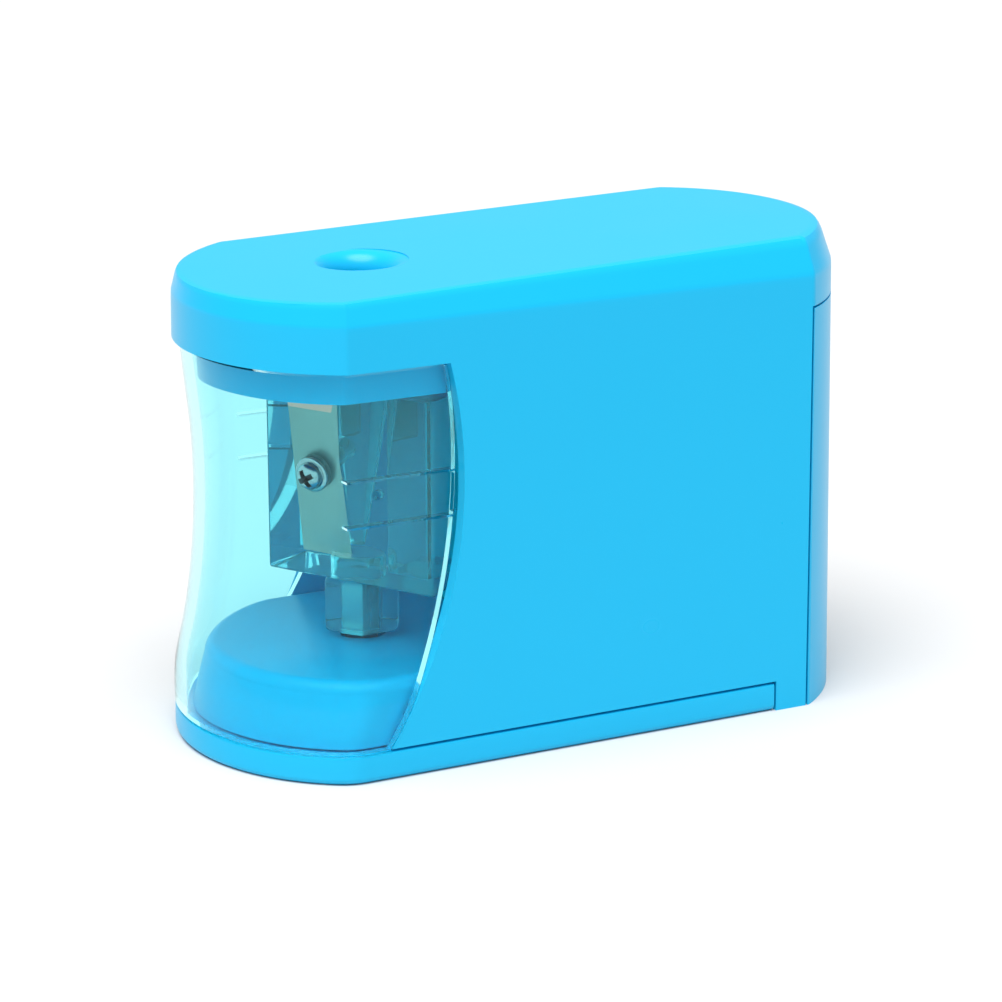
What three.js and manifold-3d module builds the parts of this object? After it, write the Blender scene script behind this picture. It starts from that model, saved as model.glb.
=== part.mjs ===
// Battery pencil sharpener with a clear shavings cover. Millimetres, +Z up, front towards -Y.
import * as THREE from 'three';
import { mergeVertices } from 'three/addons/utils/BufferGeometryUtils.js';
import Module from 'manifold-3d';

const wasm = await Module();
wasm.setup();
const { Manifold, Mesh: ManifoldMesh } = wasm;

// ---------------------------------------------------------------- driving dimensions
// Body plan at the top edge: two flat sides closed by a front arc and a rear arc.
const HALF_WIDTH = 21;
const FRONT_RADIUS = 23.63;
const FRONT_CENTRE = -21.17;
const REAR_RADIUS = 25.41;
const REAR_CENTRE = 19.39;
const TOP_EDGE_Z = 58.3;
const DRAFT = 0.0175;
const WALL = 1.8;
const GAP = 0.3;

// Cap: its top face rises gently and tapers towards the rear.
const CAP_UNDERSIDE_Z = 52.6;
const CAP_FRONT_Z = 61.3;
const CAP_SLOPE = 0.029;
const CAP_INSET_FRONT = 0.9;
const CAP_INSET_REAR = 2.3;

// Base plate and rear door
const BASE_TOP_Z = 3.8;
const BASE_REAR_Y = 28.6;
const DOOR_FRONT_Y = 33.8;
const DOOR_TOP_Z = 54;

// The curved side edge where the housing meets the clear cover, a circle in the YZ plane
const EDGE_Y = -77.5;
const EDGE_Z = 38.28;
const COVER_EDGE_RADIUS = 60.1;
const HOUSING_EDGE_RADIUS = 60.9;
const COVER_WALL = 1.5;

// Cutter: it stands on the centre of the front arc
const CUTTER_Y = FRONT_CENTRE;
const CUTTER_TURN = 32;
const CARRIER_LEFT = -11.3;
const CARRIER_RIGHT = 14.2;
const CARRIER_FRONT = 5;
const CARRIER_BACK = 5.5;
const CARRIER_Z0 = 20.5;
const CARRIER_Z1 = 47.4;
const PENCIL_RADIUS = 4.2;
const CONE_TOP_Z = 43.4;
const CONE_TIP_Z = 24.5;
const CONE_TIP_RADIUS = 0.9;
const HUB_CORNER = 5.35;
const HUB_Z0 = 13.1;
const HUB_NECK = 3.3;
const HUB_NECK_Z1 = 23;
const SPINDLE_CORNER = 2.1;

// Gears: module 0.5, motor pinion to compound idler to output gear
const MODULE = 0.5;
const PINION_TEETH = 10;
const IDLER_TEETH = 40;
const IDLER_SMALL_TEETH = 12;
const OUTPUT_TEETH = 44;
const IDLER_Y = CUTTER_Y + (MODULE * (OUTPUT_TEETH + IDLER_SMALL_TEETH)) / 2;
const MOTOR_Y = IDLER_Y + (MODULE * (IDLER_TEETH + PINION_TEETH)) / 2;

// Gear case, motor and cells
const BOSS_TOP_Z = 12.2;
const BOSS_REAR_Y = -6;
const CASE_TOP_Z = 10.9;
const MOTOR_RADIUS = 10.05;
const MOTOR_HALF_FLAT = 7.55;
const CELL_RADIUS = 7.1;
const CELL_X = 7.6;
const CELL_Y = 29.6;
const BASE_SCREWS = [[17.8, 0.5], [-17.8, 0.5], [17.8, 16.5], [-17.8, 16.5]];
const CASE_SCREWS = [[14.8, -27], [-14.8, -27]];

// ---------------------------------------------------------------- materials
const plastic = (colour, roughness = 0.35) => new THREE.MeshStandardMaterial({
  color: colour, roughness, metalness: 0,
});
const metal = (colour, roughness = 0.3) => new THREE.MeshStandardMaterial({
  color: colour, roughness, metalness: 1,
});
const clear = (colour, opacity) => new THREE.MeshStandardMaterial({
  color: colour, roughness: 0.08, metalness: 0, transparent: true, opacity,
});
const CYAN = 0x31c2f6;
const group = new THREE.Group();
group.name = 'battery_pencil_sharpener';

// ---------------------------------------------------------------- solid helpers
function toSolid(geometry) {
  const plain = geometry.index ? geometry.clone() : geometry;
  plain.deleteAttribute('normal');
  plain.deleteAttribute('uv');
  const merged = mergeVertices(plain, 1e-5);
  return new Manifold(new ManifoldMesh({
    numProp: 3,
    vertProperties: new Float32Array(merged.attributes.position.array),
    triVerts: new Uint32Array(merged.index.array),
  }));
}

function addNode(name, solid, material) {
  const result = solid.getMesh();
  const geometry = new THREE.BufferGeometry();
  const count = result.numProp;
  const positions = new Float32Array((result.vertProperties.length / count) * 3);
  for (let i = 0; i < positions.length / 3; i += 1) {
    positions[3 * i] = result.vertProperties[count * i];
    positions[3 * i + 1] = result.vertProperties[count * i + 1];
    positions[3 * i + 2] = result.vertProperties[count * i + 2];
  }
  geometry.setAttribute('position', new THREE.BufferAttribute(positions, 3));
  geometry.setIndex(new THREE.BufferAttribute(new Uint32Array(result.triVerts), 1));
  geometry.computeVertexNormals();
  const mesh = new THREE.Mesh(geometry, material);
  mesh.name = name;
  group.add(mesh);
}

function box(x0, x1, y0, y1, z0, z1) {
  const geometry = new THREE.BoxGeometry(x1 - x0, y1 - y0, z1 - z0);
  geometry.translate((x0 + x1) / 2, (y0 + y1) / 2, (z0 + z1) / 2);
  return toSolid(geometry);
}

// Upright cylinder or cone frustum
function post(x, y, r0, z0, z1, segments = 24, r1 = r0) {
  const geometry = new THREE.CylinderGeometry(r1, r0, z1 - z0, segments);
  geometry.rotateX(Math.PI / 2);
  geometry.translate(x, y, (z0 + z1) / 2);
  return toSolid(geometry);
}

// Cylinder along X
function rod(y, z, radius, x0, x1, segments) {
  const geometry = new THREE.CylinderGeometry(radius, radius, x1 - x0, segments);
  geometry.rotateZ(Math.PI / 2);
  geometry.translate((x0 + x1) / 2, y, z);
  return toSolid(geometry);
}

// Straight prism of a closed YZ polygon along X
function prismX(points, x0, x1) {
  const shape = new THREE.Shape(points.map(([y, z]) => new THREE.Vector2(y, z)));
  const geometry = new THREE.ExtrudeGeometry(shape, { depth: x1 - x0, bevelEnabled: false });
  geometry.applyMatrix4(new THREE.Matrix4().set(
    0, 0, 1, x0,
    1, 0, 0, 0,
    0, 1, 0, 0,
    0, 0, 0, 1,
  ));
  return toSolid(geometry);
}

// Straight prism of a closed XY polygon along Z
function prismZ(points, z0, z1) {
  const shape = new THREE.Shape(points.map(([x, y]) => new THREE.Vector2(x, y)));
  const geometry = new THREE.ExtrudeGeometry(shape, { depth: z1 - z0, bevelEnabled: false });
  geometry.translate(0, 0, z0);
  return toSolid(geometry);
}

// Body plan moved outwards by an offset, anticlockwise from the near front corner
function outline(offset, segments = 18) {
  const half = HALF_WIDTH + offset;
  const points = [];
  const rear = REAR_RADIUS + offset;
  const rearStart = Math.acos(half / rear);
  for (let i = 0; i <= segments; i += 1) {
    const angle = rearStart + ((Math.PI - 2 * rearStart) * i) / segments;
    points.push([rear * Math.cos(angle), REAR_CENTRE + rear * Math.sin(angle)]);
  }
  const front = FRONT_RADIUS + offset;
  const frontStart = Math.acos(half / front);
  for (let i = 0; i <= segments; i += 1) {
    const angle = Math.PI + frontStart + ((Math.PI - 2 * frontStart) * i) / segments;
    points.push([front * Math.cos(angle), FRONT_CENTRE + front * Math.sin(angle)]);
  }
  return points;
}

// Closed solid through rings of points, bottom to top
function loft(rings) {
  const count = rings[0].length;
  const positions = [];
  const indices = [];
  rings.forEach((ring) => ring.forEach(([x, y, z]) => positions.push(x, y, z)));
  for (let k = 0; k < rings.length - 1; k += 1) {
    for (let i = 0; i < count; i += 1) {
      const a = k * count + i;
      const b = k * count + ((i + 1) % count);
      indices.push(a, b, b + count, a, b + count, a + count);
    }
  }
  const caps = [[0, true], [rings.length - 1, false]];
  caps.forEach(([k, down]) => {
    const middle = [0, 1, 2].map((n) => rings[k].reduce((sum, p) => sum + p[n], 0) / count);
    const centre = positions.length / 3;
    positions.push(...middle);
    for (let i = 0; i < count; i += 1) {
      const a = k * count + i;
      const b = k * count + ((i + 1) % count);
      indices.push(centre, down ? b : a, down ? a : b);
    }
  });
  const geometry = new THREE.BufferGeometry();
  geometry.setAttribute('position', new THREE.Float32BufferAttribute(positions, 3));
  geometry.setIndex(indices);
  return toSolid(geometry);
}

const draftAt = (z) => DRAFT * (TOP_EDGE_Z - z);
const level = (z, offset, segments) => outline(offset, segments).map(([x, y]) => [x, y, z]);
const bodyLevel = (z, inset = 0) => level(z, draftAt(z) - inset);

// Ring of the cap: height and inset grow towards the rear
function capRing(share, inset, dropped = 0) {
  return outline(0).map(([, y], i) => {
    const along = Math.min(1, Math.max(0, (y + 32) / 66));
    const shrink = inset + share * (CAP_INSET_FRONT + (CAP_INSET_REAR - CAP_INSET_FRONT) * along);
    const [px, py] = outline(-shrink)[i];
    const top = CAP_FRONT_Z + CAP_SLOPE * (y + 32) - dropped;
    const rise = share < 1 ? 0.62 : 1;
    return [px, py, TOP_EDGE_Z + (top - TOP_EDGE_Z) * rise];
  });
}

// Swept round wire along a curve
function wire(points, radius, steps, sides = 6) {
  const path = new THREE.CatmullRomCurve3(points.map((p) => new THREE.Vector3(...p)));
  const shape = new THREE.Shape();
  for (let i = 0; i < sides; i += 1) {
    const angle = (2 * Math.PI * i) / sides;
    const x = radius * Math.cos(angle);
    const y = radius * Math.sin(angle);
    if (i === 0) shape.moveTo(x, y);
    else shape.lineTo(x, y);
  }
  shape.closePath();
  return toSolid(new THREE.ExtrudeGeometry(shape, { steps, extrudePath: path }));
}

function coil(x, y, z0, z1, r0, r1, turns, radius) {
  const points = [];
  const count = Math.round(turns * 10);
  for (let i = 0; i <= count; i += 1) {
    const share = i / count;
    const angle = 2 * Math.PI * turns * share;
    const r = r0 + (r1 - r0) * share;
    points.push([x + r * Math.cos(angle), y + r * Math.sin(angle), z0 + (z1 - z0) * share]);
  }
  return wire(points, radius, count * 2);
}

// Spur gear blank with straight-sided teeth; turn is the angle of a tooth centre, in degrees
function gear(y, teeth, z0, z1, turn) {
  const pitch = (MODULE * teeth) / 2;
  const tip = pitch + 0.8 * MODULE;
  const root = pitch - 1.1 * MODULE;
  const step = (2 * Math.PI) / teeth;
  const points = [];
  for (let i = 0; i < teeth; i += 1) {
    const centre = THREE.MathUtils.degToRad(turn) + i * step;
    const corners = [[-0.29, root], [-0.1, tip], [0.1, tip], [0.29, root]];
    corners.forEach(([share, r]) => {
      const angle = centre + share * step;
      points.push([r * Math.cos(angle), y + r * Math.sin(angle)]);
    });
  }
  return prismZ(points, z0, z1);
}

function hexagon(corner, turn) {
  const points = [];
  for (let i = 0; i < 6; i += 1) {
    const angle = THREE.MathUtils.degToRad(turn + 60 * i);
    points.push([corner * Math.cos(angle), CUTTER_Y + corner * Math.sin(angle)]);
  }
  return points;
}

// Turns a solid made in the cutter's own axes into place on the cutter axis
function placeCutter(solid) {
  return solid.rotate([0, 0, CUTTER_TURN]).translate([0, CUTTER_Y, 0]);
}

// ---------------------------------------------------------------- housing
const bodyOuter = loft([
  bodyLevel(0),
  bodyLevel(TOP_EDGE_Z),
  capRing(0.3, 0),
  capRing(1, 0),
]);
const bodyInner = loft([
  level(-1, draftAt(-1) - WALL),
  level(TOP_EDGE_Z - 1, draftAt(TOP_EDGE_Z - 1) - WALL),
  capRing(1, WALL, 2.2),
]);
const edgeRod = (radius) => rod(EDGE_Y, EDGE_Z, radius, -30, 30, 160);

const windowOpening = edgeRod(HOUSING_EDGE_RADIUS)
  .intersect(box(-30, 30, -60, 0, 0, CAP_UNDERSIDE_Z));
const basePocket = box(-30, 30, -60, BASE_REAR_Y + GAP, -1, BASE_TOP_Z + GAP);
const doorPocket = box(-30, 30, DOOR_FRONT_Y - GAP, 60, -1, DOOR_TOP_Z + GAP);
const frontHalf = box(-30, 30, -60, -17.6, 40, 60);
const capLedge = loft([level(52.9, -1.2), level(54.4, -1.2)])
  .subtract(loft([level(52, -4.4), level(55, -4.4)]))
  .intersect(frontHalf);
const capLip = loft([level(48.2, -3), level(53.6, -3)])
  .subtract(loft([level(48, -4.4), level(54, -4.4)]))
  .intersect(frontHalf);

let housing = bodyOuter.subtract(bodyInner)
  .subtract(windowOpening)
  .subtract(basePocket)
  .subtract(doorPocket)
  .add(capLedge)
  .add(capLip);
BASE_SCREWS.forEach(([x, y]) => {
  housing = housing.add(post(x, y, 2.6, BASE_TOP_Z + GAP, 13, 18))
    .subtract(post(x, y, 1.5, 2, 10, 16));
});
// Pencil funnel through the cap
housing = housing.add(post(0, CUTTER_Y, 6.2, 55.5, 60.5, 36))
  .subtract(post(0, CUTTER_Y, PENCIL_RADIUS, 55, 63, 36))
  .subtract(post(0, CUTTER_Y, PENCIL_RADIUS, 59.4, 61, 36, 5.4))
  .subtract(post(0, CUTTER_Y, 5.2, 60.8, 61.9, 36, 6.5));
housing = housing.intersect(bodyOuter);
addNode('upper_housing', housing, plastic(CYAN, 0.28));

// Base plate, notched at the rear for the battery tub
let base = loft([level(0, draftAt(0) - 0.5), bodyLevel(0.5), bodyLevel(BASE_TOP_Z)])
  .intersect(box(-30, 30, -60, BASE_REAR_Y, -1, 10))
  .subtract(box(-16.9, 16.9, 19.9, 40, -1, 10))
  .subtract(post(0, CUTTER_Y, 12.8, 1, 5, 40))
  .subtract(post(0, IDLER_Y, 11.7, 1, 5, 40))
  .subtract(post(0, MOTOR_Y, 4.4, 1, 5, 24));
[...BASE_SCREWS, ...CASE_SCREWS].forEach(([x, y]) => {
  base = base.subtract(post(x, y, 1.5, -1, 5, 16)).subtract(post(x, y, 2.8, -1, 1.9, 20));
});
addNode('base_plate', base, plastic(CYAN, 0.3));

// Gear case: a round-fronted boss under the cutter, running back beneath the motor
function bossLevel(z, half, radius, rearY = BOSS_REAR_Y, segments = 24) {
  const start = Math.acos(half / radius);
  const points = [[half, rearY, z], [-half, rearY, z]];
  for (let i = 0; i <= segments; i += 1) {
    const angle = Math.PI + start + ((Math.PI - 2 * start) * i) / segments;
    points.push([radius * Math.cos(angle), FRONT_CENTRE + radius * Math.sin(angle), z]);
  }
  return points;
}

const boss = loft([
  bossLevel(4.1, 19.9, 22.3),
  bossLevel(10.6, 19.4, 20.4),
  bossLevel(11.7, 18.9, 19.9),
  bossLevel(BOSS_TOP_Z, 17.8, 18.8),
]);
const bossInside = loft([
  bossLevel(3, 18.5, 20.9, -7.5),
  bossLevel(10.4, 17.9, 18.9, -7.5),
]);
let gearCase = boss
  .add(box(-19.4, 19.4, -7, -3, 4.1, CASE_TOP_Z))
  .add(box(-15, 15, -4, 15, 4.1, CASE_TOP_Z))
  .subtract(bossInside)
  .subtract(box(-13.8, 13.8, -8, 13.8, 3, 9.4))
  .subtract(box(11.8, 14.2, 13, 16, 3, 6.2))
  .subtract(box(-14.2, -11.8, 13, 16, 3, 6.4));
CASE_SCREWS.forEach(([x, y]) => {
  gearCase = gearCase.add(post(x, y, 2.4, 4.1, 10.8, 18)).subtract(post(x, y, 1.5, 2, 9, 16));
});
gearCase = gearCase.subtract(post(0, CUTTER_Y, 3, 5, 13, 24))
  .subtract(post(0, MOTOR_Y, 3.4, 5, 12, 24));
addNode('gear_cover', gearCase, plastic(CYAN, 0.32));

// Clear shavings cover with a waisted wall and one snap tongue each side
const COVER_PROFILE = [
  [4.1, 1.02], [7, 1.02], [10, 0.72], [15, -0.4], [20, -1.2], [25, -1.75], [30, -2.05],
  [35, -2.12], [40, -1.95], [45, -1.5], [49, -1.1], [52.3, -0.85],
];
const coverOuter = loft(COVER_PROFILE.map(([z, offset]) => level(z, offset, 16)));
const coverInner = loft([[3, 1.02], ...COVER_PROFILE.slice(1, -1), [53.3, -0.8]]
  .map(([z, offset]) => level(z, offset - COVER_WALL, 16)));
let cover = coverOuter.subtract(coverInner).intersect(edgeRod(COVER_EDGE_RADIUS));
[-1, 1].forEach((side) => {
  const across = (a, b) => [Math.min(side * a, side * b), Math.max(side * a, side * b)];
  cover = cover
    .subtract(box(...across(16, 20.5), -31.4, -10, 38.2, 38.5))
    .subtract(box(...across(16, 20.5), -31.4, -10, 32.3, 32.6))
    .add(box(...across(17.6, 18.8), -20, -11.5, 32.9, 37.9))
    .add(box(...across(18.5, 19.2), -13.4, -11.9, 32.9, 37.9));
});
addNode('window_cover', cover, clear(0x9fe6f4, 0.35));

// Rear battery door with a floor strip and two guide arms each side
let door = loft([bodyLevel(0), bodyLevel(TOP_EDGE_Z)])
  .subtract(loft([bodyLevel(-1, WALL), bodyLevel(TOP_EDGE_Z + 1, WALL)]))
  .intersect(box(-30, 30, DOOR_FRONT_Y, 60, 0, DOOR_TOP_Z));
[-1, 1].forEach((side) => {
  [8, 42].forEach((z) => {
    const x0 = side > 0 ? 17.2 : -18.5;
    door = door.add(box(x0, x0 + 1.3, 28, 36.6, z, z + 5));
  });
});
const doorFloor = loft([bodyLevel(0, 1), bodyLevel(1.5, 1)])
  .intersect(box(-16.8, 16.8, DOOR_FRONT_Y, 60, 0, 1.5));
door = door.add(doorFloor);
addNode('battery_door', door, plastic(CYAN, 0.3));

// ---------------------------------------------------------------- inner chassis
// Partition, motor cheeks, bridge over the motor and the battery tub
const insideBody = loft([
  level(0, draftAt(0) - WALL - GAP),
  level(57.5, draftAt(57.5) - WALL - GAP),
  level(59.6, -5),
]);
const chassis = box(-30, 30, -5.6, -4.2, CASE_TOP_Z + GAP, 59.6)
  .intersect(insideBody)
  .add(box(10.6, 11.8, -4.4, 12, CASE_TOP_Z + GAP, 36))
  .add(box(-11.8, -10.6, -4.4, 12, CASE_TOP_Z + GAP, 36))
  .add(box(-12, 12, -4.4, 20.6, 44, 45.4))
  .add(box(-16.5, 16.5, 20.4, 21.8, 0.3, 57.8))
  .add(box(15.3, 16.5, 21.6, 33, 0.3, 57.8))
  .add(box(-16.5, -15.3, 21.6, 33, 0.3, 57.8))
  .add(box(-16.5, 16.5, 21.6, 33, 0.3, 1.6))
  .add(box(-16.5, 16.5, 21.6, 33, 56.4, 57.8))
  .subtract(box(-9, -6.2, 20, 22, 1.6, 6.6))
  .subtract(box(6.2, 9, 20, 22, 1.6, 6.6));
addNode('inner_chassis', chassis, plastic(0x2fb4e4, 0.4));

// ---------------------------------------------------------------- cutter
const CONE_SLOPE = (PENCIL_RADIUS - CONE_TIP_RADIUS) / (CONE_TOP_Z - CONE_TIP_Z);
const CONE_ANGLE = THREE.MathUtils.radToDeg(Math.atan(CONE_SLOPE));
const coneRadius = (z) => CONE_TIP_RADIUS + CONE_SLOPE * (z - CONE_TIP_Z);
const BLADE_Z = 35.5;
const SEAT_Z = 22.3;
const SEAT = 0.1;
const BLADE_LIFT = SEAT + GAP;
// Moves a solid drawn flat at the origin onto the plane that touches the pencil cone
const onBladePlane = (solid) => placeCutter(
  solid.rotate([CONE_ANGLE, 0, 0]).translate([0, -coneRadius(BLADE_Z), BLADE_Z]),
);
const SCREW_X = -4.1;
const SCREW_S = -0.95;
// Cylinder square to the blade plane; positive depth goes away from the pencil
function bladeRod(radius, depth0, depth1, segments) {
  const geometry = new THREE.CylinderGeometry(radius, radius, depth1 - depth0, segments);
  geometry.translate(SCREW_X, -(depth0 + depth1) / 2, SCREW_S);
  return toSolid(geometry);
}

const seatCut = prismX([
  [-coneRadius(SEAT_Z) - SEAT, SEAT_Z],
  [-9, SEAT_Z],
  [-9, 49],
  [-coneRadius(49) - SEAT, 49],
], -9.3, 2.2);
const carrier = placeCutter(
  box(CARRIER_LEFT, CARRIER_RIGHT, -CARRIER_FRONT, CARRIER_BACK, CARRIER_Z0, CARRIER_Z1)
    .subtract(post(0, 0, CONE_TIP_RADIUS, CONE_TIP_Z, CONE_TOP_Z, 28, PENCIL_RADIUS))
    .subtract(post(0, 0, PENCIL_RADIUS, CONE_TOP_Z - 0.01, 49, 28))
    .subtract(seatCut)
    .subtract(post(0, 0, HUB_NECK + 0.4, CARRIER_Z0 - 1, HUB_NECK_Z1 + GAP, 28))
    .subtract(box(6.4, 12.4, -3.4, 7, 22.3, 45.6))
    .subtract(box(-9.8, -6.6, 1.2, 7, 22.3, 45.6)),
).subtract(onBladePlane(bladeRod(1.5, -6.5, 1, 16)));
addNode('cutter_carrier', carrier, clear(0xa9dfe6, 0.4));

const bladeShape = [
  [-7.65, -BLADE_LIFT], [-7.65, -BLADE_LIFT - 0.5], [-1, -BLADE_LIFT - 0.5], [-0.2, -BLADE_LIFT],
];
const blade = onBladePlane(prismZ(bladeShape, -12.8, 11.6).subtract(bladeRod(1.5, -1, 3, 20)));
addNode('sharpener_blade', blade, metal(0xb9c0c2, 0.28));

const headFoot = BLADE_LIFT + 0.5 + GAP;
const screwHead = bladeRod(2.4, headFoot, headFoot + 1.4, 28)
  .add(bladeRod(1.8, headFoot + 1.3, headFoot + 2.9, 28))
  .add(bladeRod(1.1, -5.5, headFoot + 0.2, 12));
addNode('blade_screw', onBladePlane(screwHead), metal(0xc9cdd0, 0.22));

const hub = prismZ(hexagon(HUB_CORNER, CUTTER_TURN), HUB_Z0, CARRIER_Z0 - GAP)
  .add(post(0, CUTTER_Y, HUB_NECK, CARRIER_Z0 - 1, HUB_NECK_Z1, 28))
  .subtract(placeCutter(box(-9.6, 2.5, -9, -0.2, SEAT_Z - GAP, HUB_NECK_Z1 + 1)))
  .subtract(prismZ(hexagon(SPINDLE_CORNER + 0.4, CUTTER_TURN), HUB_Z0 - 1, 19.2));
addNode('drive_hub', hub, clear(0xb5e4ea, 0.4));

const spindle = prismZ(hexagon(SPINDLE_CORNER, CUTTER_TURN), 4.9, 18.9);
addNode('drive_spindle', spindle, metal(0xb4b8bb, 0.35));

// ---------------------------------------------------------------- gear train and motor
// Tooth centres and gaps meet on the lines between the axes, which all run along Y.
const outputGear = gear(CUTTER_Y, OUTPUT_TEETH, 5.4, 8, 90)
  .subtract(prismZ(hexagon(SPINDLE_CORNER + 0.4, CUTTER_TURN), 5, 9));
addNode('output_gear', outputGear, plastic(0xe9e8e2, 0.45));

const smallStep = 360 / IDLER_SMALL_TEETH;
const idler = gear(IDLER_Y, IDLER_TEETH, 2, 4.5, 90)
  .add(gear(IDLER_Y, IDLER_SMALL_TEETH, 4.4, 8.3, -90 + smallStep / 2))
  .subtract(post(0, IDLER_Y, 1.4, 1, 9, 16));
addNode('idler_gear', idler, plastic(0xe9e8e2, 0.45));
addNode('idler_axle', post(0, IDLER_Y, 1, 1.3, 9.1, 16), metal(0xb4b8bb, 0.3));

const pinionStep = 360 / PINION_TEETH;
const pinion = gear(MOTOR_Y, PINION_TEETH, 1.8, 5.2, -90 + pinionStep / 2)
  .subtract(post(0, MOTOR_Y, 1.3, 1, 6, 16));
addNode('motor_pinion', pinion, metal(0xc8a04a, 0.35));
addNode('motor_shaft', post(0, MOTOR_Y, 1, 1.6, 14.5, 16), metal(0xb4b8bb, 0.25));

const flats = (z0, z1, half = MOTOR_HALF_FLAT) => box(-11, 11, MOTOR_Y - half, MOTOR_Y + half, z0, z1);
const can = post(0, MOTOR_Y, MOTOR_RADIUS, 12.4, 34, 40)
  .intersect(flats(12, 35))
  .add(post(0, MOTOR_Y, 3, 11.2, 12.6, 24))
  .subtract(post(0, MOTOR_Y, 1.3, 11, 15, 16));
addNode('motor_can', can, metal(0xaeb3b6, 0.3));
const endCap = post(0, MOTOR_Y, MOTOR_RADIUS - 0.5, 34.3, 36.6, 40)
  .intersect(flats(34, 38, MOTOR_HALF_FLAT - 0.5))
  .add(post(0, MOTOR_Y, 3, 36.4, 38, 24));
addNode('motor_end_cap', endCap, plastic(0x2a2c2e, 0.5));
addNode('motor_terminal_1', box(-7.4, -5, MOTOR_Y - 0.2, MOTOR_Y + 0.2, 36.9, 40), metal(0xc8a45a));
addNode('motor_terminal_2', box(5, 7.4, MOTOR_Y - 0.2, MOTOR_Y + 0.2, 36.9, 40), metal(0xc8a45a));

// ---------------------------------------------------------------- switch under the spindle
addNode('thrust_button', post(0, CUTTER_Y, 1.7, 3.4, 4.6, 20), plastic(0xf0efe9, 0.4));
const leaf = box(-1.8, 12.2, CUTTER_Y - 1.5, CUTTER_Y + 1.5, 2.8, 3.1);
addNode('switch_leaf', leaf, metal(0xc98f5a, 0.3));
const contact = box(-10, 1.8, CUTTER_Y - 1.3, CUTTER_Y + 1.3, 1.7, 2);
addNode('switch_contact', contact, metal(0xc98f5a, 0.3));

// ---------------------------------------------------------------- cells and contacts
const cell = (x, up) => {
  const body = post(x, CELL_Y, CELL_RADIUS, 4.8, 54, 32);
  const nub = up ? post(x, CELL_Y, 2.7, 53.9, 55.3, 20) : post(x, CELL_Y, 2.7, 3.5, 4.9, 20);
  return body.add(nub);
};
addNode('battery_cell_1', cell(-CELL_X, true), plastic(0x33373b, 0.35));
addNode('battery_cell_2', cell(CELL_X, false), plastic(0x33373b, 0.35));
const plate = (x0, x1, z0, z1) => box(x0, x1, CELL_Y - 3.6, CELL_Y + 3.3, z0, z1);
addNode('link_plate', plate(-11.5, 11.5, 55.6, 56.1), metal(0xc2c5c7));
addNode('negative_contact', plate(-11.8, -3.4, 1.9, 2.3), metal(0xc2c5c7));
addNode('positive_contact', plate(3.4, 11.8, 2.6, 3.2), metal(0xc2c5c7));
addNode('negative_spring', coil(-CELL_X, CELL_Y, 2.85, 4.25, 3.1, 1.6, 2, 0.22), metal(0xcfd2d4));
addNode('link_spring', coil(CELL_X, CELL_Y, 55.1, 54.5, 3.1, 1.6, 2, 0.2), metal(0xcfd2d4));

// ---------------------------------------------------------------- leads
const red = wire([
  [-6.2, MOTOR_Y + 0.9, 39.3], [-6.4, MOTOR_Y + 4, 40], [-7.4, 16.5, 37], [-7.6, 19.3, 30],
  [-7.6, 19.3, 10], [-7.6, 19.6, 5.6], [-7.6, 21.2, 4], [-7.6, 22.4, 3.6],
], 0.5, 40);
addNode('lead_red', red, plastic(0xc23a30, 0.5));
const black = wire([
  [12.6, -16, 4.9], [12.9, -6, 4.9], [12.9, 8, 4.9], [12.9, 15, 4.9],
  [10.4, 18.2, 6.4], [7.6, 19.6, 5.4], [7.6, 21.2, 4.2], [7.6, 22.4, 4.1],
], 0.5, 44);
addNode('lead_switch', black, plastic(0x25272a, 0.5));
const yellow = wire([
  [-10.6, -18.6, 2.6], [-12.4, -15.6, 4.8], [-12.9, -6, 4.9], [-12.9, 8, 4.9], [-12.9, 15, 5],
  [-10.8, 17.2, 9], [-2, 17, 22], [5, 15.6, 35], [6.5, MOTOR_Y + 4.2, 40.2],
  [6.2, MOTOR_Y + 0.9, 39.3],
], 0.5, 56);
addNode('lead_motor', yellow, plastic(0xd8b93a, 0.5));

// ---------------------------------------------------------------- screws
function fastener(name, x, y, tip) {
  const solid = post(x, y, 2.3, 0.5, 1.6, 20).add(post(x, y, 1.1, 1.5, tip, 12));
  addNode(name, solid, metal(0x9fa4a8, 0.35));
}
BASE_SCREWS.forEach(([x, y], i) => fastener(`base_screw_${i + 1}`, x, y, 9.4));
CASE_SCREWS.forEach(([x, y], i) => fastener(`gear_cover_screw_${i + 1}`, x, y, 8.4));

export default group;
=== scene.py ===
"""Battery pencil sharpener: the visual model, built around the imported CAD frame.

Lengths are in millimetres until a mesh is made. X runs across the body, Y from the clear
cover in front to the battery door behind, and Z up from the table.
"""
import math

import bpy
from mathutils import Matrix, Vector


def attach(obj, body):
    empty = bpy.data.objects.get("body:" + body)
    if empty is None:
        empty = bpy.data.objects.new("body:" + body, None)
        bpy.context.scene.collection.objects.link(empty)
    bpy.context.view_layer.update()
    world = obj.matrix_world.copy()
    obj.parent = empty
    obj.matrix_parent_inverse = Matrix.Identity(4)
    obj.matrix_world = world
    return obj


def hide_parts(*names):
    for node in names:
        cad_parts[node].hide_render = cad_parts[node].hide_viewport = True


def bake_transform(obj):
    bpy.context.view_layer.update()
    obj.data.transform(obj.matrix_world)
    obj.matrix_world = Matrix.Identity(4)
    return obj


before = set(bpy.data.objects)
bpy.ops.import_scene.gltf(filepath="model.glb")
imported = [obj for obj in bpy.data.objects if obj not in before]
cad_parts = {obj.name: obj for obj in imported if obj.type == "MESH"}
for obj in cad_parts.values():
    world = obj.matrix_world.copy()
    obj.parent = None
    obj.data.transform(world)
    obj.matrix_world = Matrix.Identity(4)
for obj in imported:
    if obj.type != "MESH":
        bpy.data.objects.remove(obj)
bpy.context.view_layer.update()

# ------------------------------------------------------------------ dimensions, as in the CAD
MM = 0.001
WALL = 1.8
GAP = 0.3
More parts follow.
